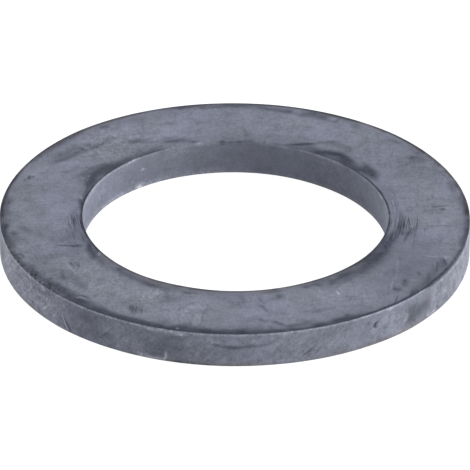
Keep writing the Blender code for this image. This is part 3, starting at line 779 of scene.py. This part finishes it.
class Wire:
    """A socket of a material's nodes that takes part in plain arithmetic.

    With no socket it stands for the tree.
    """

    def __init__(self, tree, socket=None):
        self.tree = tree
        self.socket = socket

    def node(self, kind, settings=None, inputs=None, output=0):
        """Adds a node: its settings first, then its sockets' values or wires. Gives one of its outputs."""
        node = self.tree.nodes.new("ShaderNode" + kind)
        for name, value in (settings or {}).items():
            setattr(node, name, value)
        for name, value in (inputs or {}).items():
            if isinstance(value, Wire):
                self.tree.links.new(value.socket, node.inputs[name])
            else:
                node.inputs[name].default_value = value
        return Wire(self.tree, node.outputs[output] if node.outputs else None)

    def maths(self, operation, *values):
        """An operation on numbers."""
        return self.node("Math", {"operation": operation}, dict(enumerate(values)))

    def vector_maths(self, operation, inputs, output="Vector"):
        """An operation on vectors or colours."""
        return self.node("VectorMath", {"operation": operation}, inputs, output)

    def __add__(self, other):
        return self.maths("ADD", self, other)

    def __sub__(self, other):
        return self.maths("SUBTRACT", self, other)

    def __rsub__(self, other):
        return self.maths("SUBTRACT", other, self)

    def __mul__(self, other):
        return self.maths("MULTIPLY", self, other)

    def __rtruediv__(self, other):
        return self.maths("DIVIDE", other, self)

    __radd__ = __add__
    __rmul__ = __mul__


def empty_tree(owner):
    """Clears the nodes of a material or a world. Gives a wire that stands for its tree."""
    owner.use_nodes = True
    owner.node_tree.nodes.clear()
    return Wire(owner.node_tree)


def seen(red, green, blue):
    """A colour as a screen shows it, from 0 to 255, turned into the linear values that a socket takes."""
    linear = [((part / 255 + 0.055) / 1.055) ** 2.4 for part in (red, green, blue)]
    return (*linear, 1.0)


def colour_mix(share, first, second):
    """Mixes two colours; the share is a wire."""
    return share.node("Mix", {"data_type": "RGBA"}, {0: share, 6: first, 7: second}, 2)


def smooth_step(value, low, high):
    """0 below low and 1 above high."""
    inputs = {"Value": value, "From Min": low, "From Max": high}
    return value.node("MapRange", {"interpolation_type": "SMOOTHSTEP"}, inputs)


def noise(place, cell, detail=2.0, distortion=0.0):
    """Noise around 0, mostly between -0.3 and 0.3, whose patches are about a cell wide, in millimetres."""
    inputs = {"Vector": place, "Scale": 1 / (cell * MM), "Detail": detail, "Distortion": distortion}
    return place.node("TexNoise", {}, inputs, "Fac") - 0.5


def stretched(place, turn, lengths):
    """Coordinates that stretch a pattern along three axes, turned by these degrees about X, Y and Z."""
    rotation = tuple(math.radians(angle) for angle in turn)
    inputs = {"Vector": place, "Rotation": rotation, "Scale": lengths}
    return place.node("Mapping", {"vector_type": "TEXTURE"}, inputs)


LAVENDER_BLOOM = seen(125.5, 128, 145.3)
NEUTRAL_BLOOM = seen(123.5, 129, 141.7)
BROWN_BLOOM = seen(131, 128, 132)
LIGHT_RUBBER = seen(178, 181, 196)
WHITE_DIRT = seen(232, 232, 234)
DARK_RUBBER = seen(38, 42, 57)
BROWN_RUBBER = seen(44, 41, 43)
# The fine arcs: how often they change round the ring, in changes per radian, and how wide they are.
ARC_CHANGES = 5.0
ARC_PITCH = 0.19
# A light mark turns from light rubber into white dirt between these two tones.
WHITE_DIRT_TONES = (0.86, 1.0)
# The rubber's mean roughness, how much it mirrors, and how strong and how high in millimetres its bump is.
RUBBER_ROUGHNESS = 0.62
RUBBER_SHEEN = 0.05
BUMP_STRENGTH = 0.35
BUMP_HEIGHT = 0.06


def fine_arcs(place):
    """Noise around 0 that changes fast with the distance from the ring's axis and slowly round the ring."""
    flat = place.vector_maths("MULTIPLY", {0: place, 1: (1, 1, 0)})
    radius = flat.vector_maths("LENGTH", {0: flat}, "Value")
    heading = flat.vector_maths("NORMALIZE", {0: flat})
    heading = heading.vector_maths("SCALE", {0: heading, "Scale": ARC_CHANGES})
    step = radius.vector_maths("SCALE", {0: (0, 0, 1), "Scale": radius * (1 / (ARC_PITCH * MM))})
    ringed = heading.vector_maths("ADD", {0: heading, 1: step})
    return ringed.node("TexNoise", {}, {"Vector": ringed, "Scale": 1.0, "Detail": 1.0}, "Fac") - 0.5


def bloomed_rubber():
    """Grey rubber under a smoky bloom, with the painted marks broken up by noise."""
    material = bpy.data.materials.new("bloomed_rubber")
    start = empty_tree(material)
    place = start.node("TexCoord", {}, {}, "Object")

    def stored(name):
        return start.node("Attribute", {"attribute_name": name}, {}, "Fac")

    def line(name):
        offset = stored(name + "_offset")
        square = offset * offset
        return stored(name + "_tone") * (1 / (1 + square * square))

    # The finer patterns are drawn out along the rubber's grain, which runs through the ring front to back.
    drawn = stretched(place, (0, 0, 0), (1.0, 1.9, 1.0))
    broad = noise(place, 9.0, 2.0)
    cloudy = noise(place, 2.8, 3.0, 0.6)
    mottled = noise(drawn, 0.9, 3.0, 0.5)
    fine = noise(drawn, 0.34, 2.0)
    grain = noise(place, 0.14, 1.0)
    brushed = noise(stretched(place, (0, 0, 12), (3.2, 0.4, 1.0)), 1.0, 2.0, 0.3)
    crossed = noise(stretched(place, (0, 0, -14), (2.4, 0.3, 1.0)), 1.0, 2.0, 0.3)
    slanted = stored("outer_wall") * noise(stretched(place, (0, -50, 0), (2.6, 1.0, 0.45)), 1.0, 2.0, 0.3)
    arcs = fine_arcs(place)

    # The bore's wall is plainer than the other faces.
    quiet = 1 - 0.35 * stored("bore_wall")

    # A mark's tone is broken up by noise, most where it is dark.
    # The dark tone: rubbed dark rubber and dirt, and painted shade along the rims and at the foot of the
    # walls.
    dark = stored("dark")
    ragged = 2.2 * fine + 1.8 * mottled + 0.9 * brushed
    rubbed_and_shaded = dark * (1 + ragged * (1.25 - dark))
    scuffed = 0.14 * smooth_step(cloudy + 0.5 * mottled + 0.3 * crossed, 0.08, 0.34)
    turned = stored("turned")
    rubbed_and_shaded = 1 - (1 - rubbed_and_shaded) * (1 - scuffed * quiet) * (1 - line("dark_line"))
    rubbed_and_shaded = rubbed_and_shaded + 1.2 * turned * smooth_step(arcs, -0.02, 0.3)
    # The light tone: haze, wear and flecks, and the painted highlight and floor light along the edges of the
    # walls.
    light = stored("light")
    hazy_and_lit = light * (1 + 2.0 * mottled + 2.0 * fine) + line("light_line")
    hazy_and_lit = hazy_and_lit + 0.12 * turned * smooth_step(arcs, -0.04, -0.25)
    streaks = 0.14 * smooth_step(crossed + 0.4 * fine, 0.16, 0.36) + 0.1 * smooth_step(brushed, 0.14, 0.34)
    hazy_and_lit = hazy_and_lit + quiet * streaks

    # The tints are listed too, with soft noise between them.
    lavender = 0.5 + 0.5 * stored("lavender") + 0.9 * broad + 0.6 * cloudy
    brown = stored("brown") * (0.8 + 1.5 * mottled)
    bloom = colour_mix(lavender, NEUTRAL_BLOOM, LAVENDER_BLOOM)
    bloom = colour_mix(0.7 * brown, bloom, BROWN_BLOOM)
    bare = colour_mix(brown, DARK_RUBBER, BROWN_RUBBER)
    colour = colour_mix(rubbed_and_shaded, bloom, bare)
    colour = colour_mix(hazy_and_lit, colour, LIGHT_RUBBER)
    colour = colour_mix(smooth_step(light, *WHITE_DIRT_TONES), colour, WHITE_DIRT)
    unevenness = 0.5 * broad + 0.6 * cloudy + 0.46 * mottled + 0.56 * fine + 0.3 * grain + 0.34 * brushed
    unevenness = unevenness + 0.28 * crossed + 0.4 * slanted + dark * (0.9 * mottled + 1.9 * fine)
    # The bore's wall is made a little darker too: painted shade from the ring round it, together with its
    # thinner bloom.
    level = 1 + quiet * unevenness - 0.04 * stored("bore_wall")
    colour = colour.vector_maths("SCALE", {0: colour, "Scale": level})

    roughness = RUBBER_ROUGHNESS + 0.2 * mottled + 0.2 * fine - 0.14 * rubbed_and_shaded
    height = 0.5 * grain + 0.9 * fine + 1.2 * mottled + 0.5 * brushed - 0.3 * rubbed_and_shaded
    inputs = {"Height": height, "Strength": BUMP_STRENGTH, "Distance": BUMP_HEIGHT * MM}
    bump = start.node("Bump", {}, inputs, "Normal")
    inputs = {"Base Color": colour, "Roughness": roughness, "Normal": bump}
    inputs["Specular IOR Level"] = RUBBER_SHEEN
    surface = start.node("BsdfPrincipled", {}, inputs)
    start.node("OutputMaterial", {}, {"Surface": surface})
    return material


# The stage

# The floor: its reach to each side in millimetres, its colour and its glow as the camera sees it, and the
# colour with which it sends light back to the ring.
FLOOR_REACH = 900.0
FLOOR_COLOUR = (0.35, 0.35, 0.35, 1.0)
FLOOR_GLOW = 0.85
FLOOR_SENT_BACK = (0.75, 0.75, 0.75, 1.0)
# The plain light from all round.
WORLD_LEVEL = 0.4
WHITE = (1.0, 1.0, 1.0, 1.0)

# Each lamp: azimuth and elevation in degrees, size in millimetres, the level at which it lights a white
# surface that faces it, and its warmth, which is the share of its blue light that is missing.
LAMP_DISTANCE = 900.0
LAMPS = {
    "right": (8, 12, 500, 0.9, 0.05),
    "front_right": (318, 14, 350, 0.26, 0.05),
    "back_left": (142, 14, 350, 0.6, 0.05),
    "top": (270, 80, 600, 0.24, 0.0),
}

# The camera, fitted to the ring's two outlines in the photograph. It aims a little in front of the ring's
# middle, and is turned by its roll.
CAMERA_ELEVATION = 29.4
CAMERA_DISTANCE = 817.0
CAMERA_LENS = 454.0
CAMERA_ROLL = 0.42
CAMERA_AIM_RIGHT = 0.04
CAMERA_AIM_UP = -2.83
CAMERA_REACH_IN_METRES = 10


def seen_directly(start):
    """1 for what the camera sees, also by reflection or through something, and 0 for all other light."""
    rays = ("Is Camera Ray", "Is Glossy Ray", "Is Transmission Ray")
    camera, glossy, through = [start.node("LightPath", {}, {}, ray) for ray in rays]
    return camera.maths("MAXIMUM", camera, glossy.maths("MAXIMUM", glossy, through))


def white_floor():
    """White to the camera apart from the ring's soft shadow, and a paler grey to the light it sends back."""
    material = bpy.data.materials.new("white_floor")
    start = empty_tree(material)
    lit = start.node("BsdfDiffuse", {}, {"Color": FLOOR_COLOUR})
    glow = start.node("Emission", {}, {"Strength": FLOOR_GLOW})
    bright = start.node("AddShader", {}, {0: lit, 1: glow})
    sent_back = start.node("BsdfDiffuse", {}, {"Color": FLOOR_SENT_BACK})
    surface = start.node("MixShader", {}, {0: seen_directly(start), 1: sent_back, 2: bright})
    start.node("OutputMaterial", {}, {"Surface": surface})
    return material


def floor():
    """A square on the ground, under the ring."""
    mesh = bpy.data.meshes.new("floor")
    reach = FLOOR_REACH * MM
    corners = [(-reach, -reach, 0), (reach, -reach, 0), (reach, reach, 0), (-reach, reach, 0)]
    mesh.from_pydata(corners, [], [(0, 1, 2, 3)])
    mesh.materials.append(white_floor())
    return linked("floor", mesh)


def direction(azimuth, elevation):
    """A unit vector that points towards an azimuth and an elevation in degrees."""
    azimuth = math.radians(azimuth)
    elevation = math.radians(elevation)
    flat = math.cos(elevation)
    return Vector((flat * math.cos(azimuth), flat * math.sin(azimuth), math.sin(elevation)))


def lamp(name, azimuth, elevation, size, level, warmth):
    """A square area lamp that looks at the ring."""
    data = bpy.data.lights.new(name, "AREA")
    data.shape = "SQUARE"
    data.size = size * MM
    data.energy = level * (math.pi * LAMP_DISTANCE * MM) ** 2
    data.color = (1.0, 1.0 - warmth / 4, 1.0 - warmth)
    source = linked(name, data)
    away = direction(azimuth, elevation)
    source.location = away * LAMP_DISTANCE * MM
    source.rotation_euler = away.to_track_quat("Z", "Y").to_euler()


def world():
    """White to the camera and to reflections, and a plain soft light to everything else."""
    background = bpy.data.worlds.new("plain_light")
    start = empty_tree(background)
    plain = start.node("Background", {}, {"Color": WHITE, "Strength": WORLD_LEVEL})
    white = start.node("Background", {}, {"Color": WHITE, "Strength": 1.0})
    surface = start.node("MixShader", {}, {0: seen_directly(start), 1: plain, 2: white})
    start.node("OutputWorld", {}, {"Surface": surface})
    bpy.context.scene.world = background


def camera():
    """The photograph's view. Its right and up directions are turned by the roll about the line of sight."""
    back = direction(270, CAMERA_ELEVATION)
    right = Vector((1, 0, 0))
    up = back.cross(right)
    middle = Vector((0, 0, HEIGHT * MM))
    position = middle + back * CAMERA_DISTANCE * MM
    aim = middle + (right * CAMERA_AIM_RIGHT + up * CAMERA_AIM_UP) * MM
    away = (position - aim).normalized()
    side = up.cross(away).normalized()
    level = Matrix((side, away.cross(side), away)).transposed()
    facing = level @ Matrix.Rotation(math.radians(CAMERA_ROLL), 3, "Z")
    data = bpy.data.cameras.new("camera")
    data.lens = CAMERA_LENS
    data.clip_end = CAMERA_REACH_IN_METRES
    view = linked("camera", data)
    view.matrix_world = Matrix.Translation(position) @ facing.to_4x4()
    bpy.context.scene.camera = view


dark, light = painted()
lavender, brown = tinted()
dark_line = strokes(lines_of(1))
light_line = strokes(lines_of(-1))
ring = rubber_ring(dark_line, light_line)
layers = {
    "dark": dark, "light": light, "lavender": lavender, "brown": brown, "turned": turned(),
    "outer_wall": on_wall(1), "bore_wall": on_wall(-1),
    "dark_line_offset": dark_line[0], "dark_line_tone": dark_line[1],
    "light_line_offset": light_line[0], "light_line_tone": light_line[1],
}
for name, values in layers.items():
    store(ring, name, values)
ring.data.materials.append(bloomed_rubber())
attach(ring, "root")
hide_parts("sealing_ring")
floor()
world()
for name, settings in LAMPS.items():
    lamp(name, *settings)
camera()
bpy.context.scene.view_settings.view_transform = "Standard"
